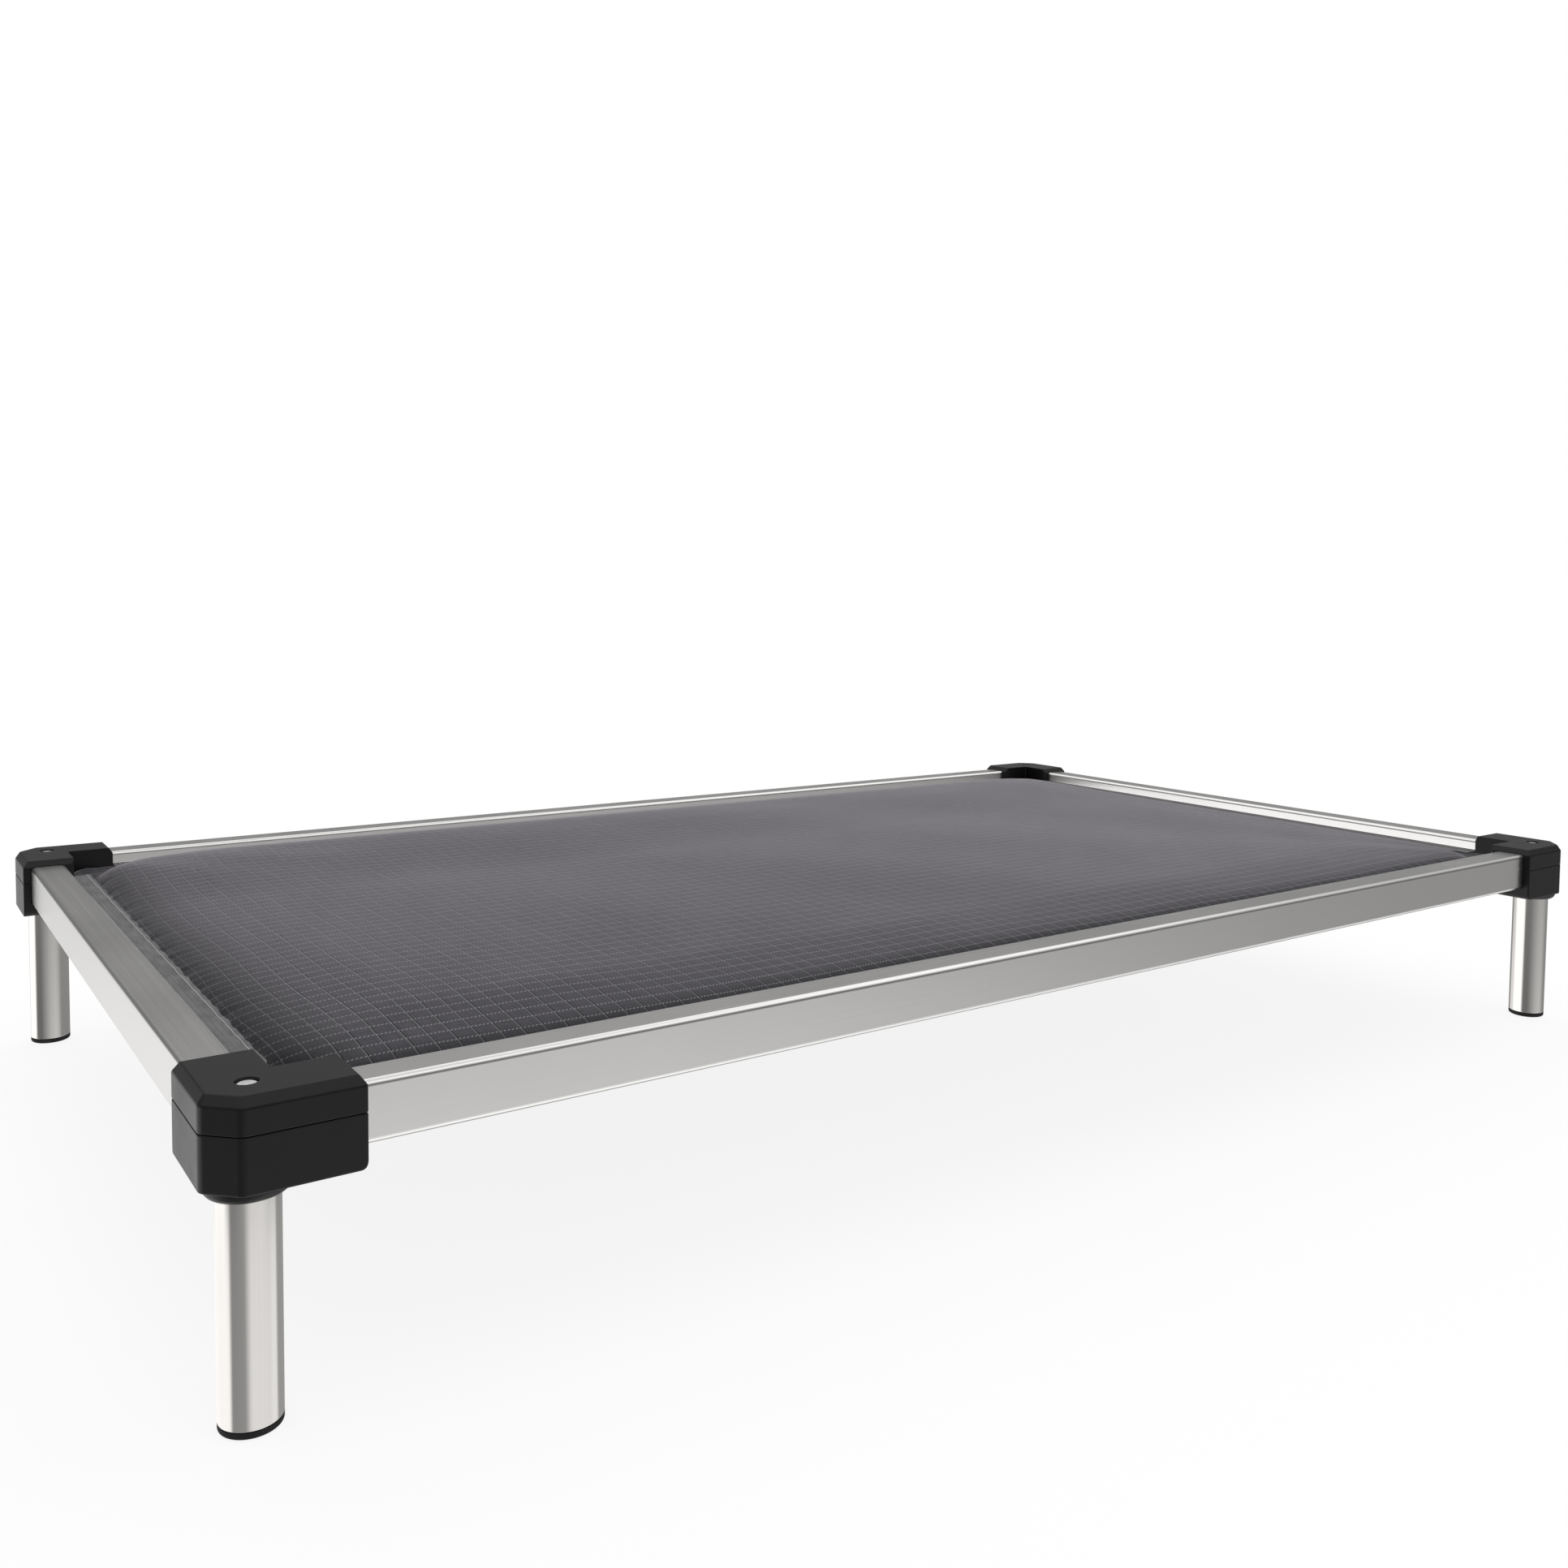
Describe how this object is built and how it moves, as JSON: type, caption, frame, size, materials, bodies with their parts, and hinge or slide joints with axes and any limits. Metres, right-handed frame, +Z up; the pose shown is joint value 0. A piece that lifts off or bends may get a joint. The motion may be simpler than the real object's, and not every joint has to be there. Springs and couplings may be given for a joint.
{
  "type": "raised pet bed",
  "caption": "Raised rectangular pet bed: a taut fabric panel held in a frame of extruded metal rails, with moulded corners on short tube legs.",
  "frame": {"origin": "on the floor, under the middle of the bed", "axes": "+X along the long rails to the right, +Y along the short rails to the back, +Z up"},
  "size_m": [1.078, 0.652, 0.147],
  "materials": {
    "rail_aluminium": "satin anodised extrusion with fine lengthwise brushing",
    "leg_aluminium": "satin anodised round tube",
    "corner_plastic": "black moulded nylon, fine matt texture",
    "bracket_metal": "as cast",
    "fastener_steel": "zinc plated",
    "foot_rubber": "matt black",
    "sleeping_fabric": "charcoal ripstop weave with a light thread grid",
    "edge_tape": "woven grey binding tape, stitched",
    "keder_plastic": "extruded rod"
  },
  "bodies": {
    "root": {"long_rail_front": "rail_aluminium", "long_rail_back": "rail_aluminium", "short_rail_left": "rail_aluminium", "short_rail_right": "rail_aluminium", "edge_tape_front": "edge_tape", "keder_rod_front": "keder_plastic", "edge_tape_back": "edge_tape", "keder_rod_back": "keder_plastic", "edge_tape_left": "edge_tape", "keder_rod_left": "keder_plastic", "edge_tape_right": "edge_tape", "keder_rod_right": "keder_plastic", "corner_base_front_left": "corner_plastic", "corner_cap_front_left": "corner_plastic", "corner_bracket_front_left": "bracket_metal", "leg_tube_front_left": "leg_aluminium", "leg_insert_front_left": "fastener_steel", "leg_bolt_front_left": "fastener_steel", "bolt_washer_front_left": "fastener_steel", "foot_front_left": "foot_rubber", "long_rail_screw_front_left": "fastener_steel", "short_rail_screw_front_left": "fastener_steel", "corner_base_front_right": "corner_plastic", "corner_cap_front_right": "corner_plastic", "corner_bracket_front_right": "bracket_metal", "leg_tube_front_right": "leg_aluminium", "leg_insert_front_right": "fastener_steel", "leg_bolt_front_right": "fastener_steel", "bolt_washer_front_right": "fastener_steel", "foot_front_right": "foot_rubber", "long_rail_screw_front_right": "fastener_steel", "short_rail_screw_front_right": "fastener_steel", "corner_base_back_right": "corner_plastic", "corner_cap_back_right": "corner_plastic", "corner_bracket_back_right": "bracket_metal", "leg_tube_back_right": "leg_aluminium", "leg_insert_back_right": "fastener_steel", "leg_bolt_back_right": "fastener_steel", "bolt_washer_back_right": "fastener_steel", "foot_back_right": "foot_rubber", "long_rail_screw_back_right": "fastener_steel", "short_rail_screw_back_right": "fastener_steel", "corner_base_back_left": "corner_plastic", "corner_cap_back_left": "corner_plastic", "corner_bracket_back_left": "bracket_metal", "leg_tube_back_left": "leg_aluminium", "leg_insert_back_left": "fastener_steel", "leg_bolt_back_left": "fastener_steel", "bolt_washer_back_left": "fastener_steel", "foot_back_left": "foot_rubber", "long_rail_screw_back_left": "fastener_steel", "short_rail_screw_back_left": "fastener_steel", "sleeping_fabric": "sleeping_fabric"}
  },
  "joints": []
}
